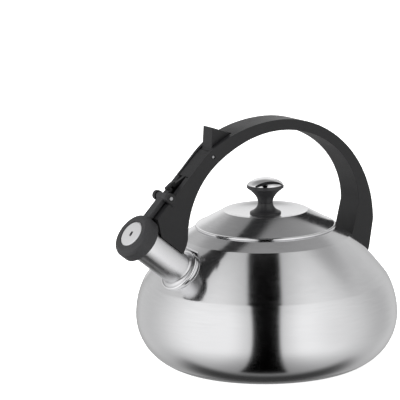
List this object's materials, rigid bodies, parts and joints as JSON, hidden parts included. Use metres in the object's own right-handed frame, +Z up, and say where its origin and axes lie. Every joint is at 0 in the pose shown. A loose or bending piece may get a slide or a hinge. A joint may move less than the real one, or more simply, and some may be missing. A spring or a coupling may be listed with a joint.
{
  "type": "stovetop whistling kettle",
  "caption": "Squat steel stovetop kettle with lift-off lid, arched handle, slanting spout and a trigger-opened whistle cap",
  "frame": {"origin": "middle of the flat base, on the surface that the kettle stands on", "axes": "+Z up, -X towards the spout, the handle lies in the XZ plane"},
  "size_m": [0.246, 0.212, 0.198],
  "materials": {
    "brushed_body": "satin brushed round the axis",
    "base_steel": "satin, darker",
    "core_metal": "plain",
    "polished_steel": "polished stainless steel",
    "lid_steel": "semi-polished",
    "bracket_steel": "plain sheet",
    "handle_plastic": "fine matt texture",
    "knob_plastic": "satin gloss",
    "knob_chrome": "polished",
    "screw_steel": "plain",
    "spring_steel": "drawn wire",
    "seal_rubber": "matt silicone",
    "whistle_steel": "fine satin"
  },
  "bodies": {
    "kettle": {"vessel": "brushed_body", "base_core": "core_metal", "base_cap": "base_steel", "spout_tube": "polished_steel", "spout_collar": "polished_steel", "front_bracket": "polished_steel", "rear_bracket": "bracket_steel", "handle": "handle_plastic", "front_handle_screw": "screw_steel", "rear_handle_screw": "screw_steel", "trigger_pin": "screw_steel", "trigger_spring": "spring_steel", "cap_pin": "screw_steel", "cap_spring": "spring_steel"},
    "lid": {"lid_shell": "lid_steel", "lid_skirt": "lid_steel", "knob_foot": "knob_plastic", "knob_grip": "knob_plastic", "knob_cap": "knob_chrome", "knob_screw": "screw_steel", "knob_washer": "screw_steel"},
    "trigger": {"trigger": "handle_plastic"},
    "cap": {"cap_lever": "handle_plastic", "cap_seal": "seal_rubber", "whistle_inner_plate": "whistle_steel", "whistle_spacer": "whistle_steel", "whistle_outer_plate": "whistle_steel"}
  },
  "joints": [
    {"name": "lid_lift", "type": "slide", "parent": "kettle", "child": "lid", "axis": [0, 0, 1], "range_m": [0, 0.034]},
    {"name": "trigger_press", "type": "hinge", "parent": "kettle", "child": "trigger", "pos_m": [-0.05732, 0, 0.17503], "axis": [0, -1, 0], "range_deg": [0, 8], "stiffness_Nm_per_rad": 0.6, "springref_deg": -5.73, "deforming": ["trigger_spring"]},
    {"name": "cap_swing", "type": "hinge", "parent": "kettle", "child": "cap", "pos_m": [-0.09894, 0, 0.14727], "axis": [0, 1, 0], "range_deg": [0, 48], "stiffness_Nm_per_rad": 0.06, "springref_deg": -17.19, "deforming": ["cap_spring"]}
  ],
  "couplings": [
    {"joint": "cap_swing", "follows": "trigger_press", "ratio": 6}
  ]
}
